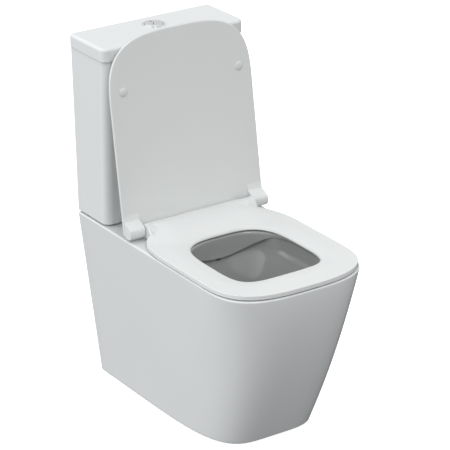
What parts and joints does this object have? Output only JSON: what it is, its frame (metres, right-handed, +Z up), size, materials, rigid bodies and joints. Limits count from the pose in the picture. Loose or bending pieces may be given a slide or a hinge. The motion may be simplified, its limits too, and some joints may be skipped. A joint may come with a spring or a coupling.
{
  "type": "close coupled toilet",
  "caption": "Close coupled toilet: skirted pan with a tapering front, cistern with lid and dual push buttons, thin hinged seat and cover that stands open.",
  "frame": {"origin": "centre of the whole object's footprint, on the floor, with the cover open as drawn", "axes": "+Z up, -Y the front of the pan, +Y the wall behind the cistern, +X the viewer's right when facing the front"},
  "size_m": [0.367, 0.6649, 0.8479],
  "materials": {
    "glazed_ceramic": "gloss white glaze",
    "duroplast": "gloss white thermoset",
    "chrome": "polished chrome",
    "zinc_steel": "zinc plated steel",
    "brass": "plain brass",
    "white_plastic": "moulded, satin",
    "grey_plastic": "moulded, satin",
    "rubber": "matt black rubber",
    "clear_rubber": "translucent soft rubber"
  },
  "bodies": {
    "fixed": {"pan": "glazed_ceramic", "pan_bowl": "glazed_ceramic", "pan_trap": "glazed_ceramic", "pan_flushway": "glazed_ceramic", "cistern_tank": "glazed_ceramic", "cistern_lid": "glazed_ceramic", "button_housing": "chrome", "button_housing_nut": "white_plastic", "half_flush_spring": "zinc_steel", "full_flush_spring": "zinc_steel", "flush_valve_body": "white_plastic", "flush_valve_washer": "rubber", "flush_valve_backnut": "white_plastic", "coupling_gasket": "rubber", "fill_valve_body": "white_plastic", "fill_valve_cap": "grey_plastic", "float_lever_pin": "zinc_steel", "fill_valve_washer": "rubber", "fill_valve_backnut": "brass", "coupling_bolt_left": "brass", "coupling_washer_left": "rubber", "coupling_wing_nut_left": "brass", "hinge_post_left": "chrome", "hinge_pin_left": "zinc_steel", "hinge_stud_left": "zinc_steel", "hinge_washer_left": "rubber", "hinge_nut_left": "zinc_steel", "coupling_bolt_right": "brass", "coupling_washer_right": "rubber", "coupling_wing_nut_right": "brass", "hinge_post_right": "chrome", "hinge_pin_right": "zinc_steel", "hinge_stud_right": "zinc_steel", "hinge_washer_right": "rubber", "hinge_nut_right": "zinc_steel"},
    "seat": {"seat_ring": "duroplast", "hinge_damper_left": "grey_plastic", "hinge_damper_right": "grey_plastic", "seat_buffer_front_left": "clear_rubber", "seat_buffer_front_right": "clear_rubber", "seat_buffer_back_left": "clear_rubber", "seat_buffer_back_right": "clear_rubber"},
    "cover": {"seat_cover": "duroplast", "cover_buffer_left": "clear_rubber", "cover_buffer_right": "clear_rubber"},
    "full_button": {"full_flush_button": "chrome", "full_flush_rod": "white_plastic"},
    "half_button": {"half_flush_button": "chrome", "half_flush_rod": "white_plastic"},
    "lift_tube": {"flush_valve_lift_tube": "grey_plastic", "flush_valve_seal": "rubber"},
    "float": {"float": "grey_plastic"},
    "lever": {"float_lever": "grey_plastic"}
  },
  "joints": [
    {"name": "seat_hinge", "type": "hinge", "parent": "fixed", "child": "seat", "pos_m": [0, 0.1025, 0.422], "axis": [-1, 0, 0], "range_deg": [0, 95]},
    {"name": "cover_hinge", "type": "hinge", "parent": "fixed", "child": "cover", "pos_m": [0, 0.1025, 0.422], "axis": [-1, 0, 0], "range_deg": [-100.4, 0]},
    {"name": "full_flush_press", "type": "slide", "parent": "fixed", "child": "full_button", "axis": [0, 0, -1], "range_m": [0, 0.008], "stiffness_N_per_m": 250, "deforming": ["full_flush_spring"]},
    {"name": "half_flush_press", "type": "slide", "parent": "fixed", "child": "half_button", "axis": [0, 0, -1], "range_m": [0, 0.008], "stiffness_N_per_m": 250, "deforming": ["half_flush_spring"]},
    {"name": "lift_tube_slide", "type": "slide", "parent": "fixed", "child": "lift_tube", "axis": [0, 0, 1], "range_m": [0, 0.012]},
    {"name": "float_slide", "type": "slide", "parent": "fixed", "child": "float", "axis": [0, 0, 1], "range_m": [0, 0.022]},
    {"name": "float_lever_pivot", "type": "hinge", "parent": "fixed", "child": "lever", "pos_m": [-0.089, 0.2665, 0.745], "axis": [0, -1, 0], "range_deg": [0, 43.2]}
  ],
  "couplings": [
    {"joint": "lift_tube_slide", "follows": "full_flush_press", "ratio": 1.5},
    {"joint": "float_lever_pivot", "follows": "float_slide", "rad_per_m": 34}
  ]
}
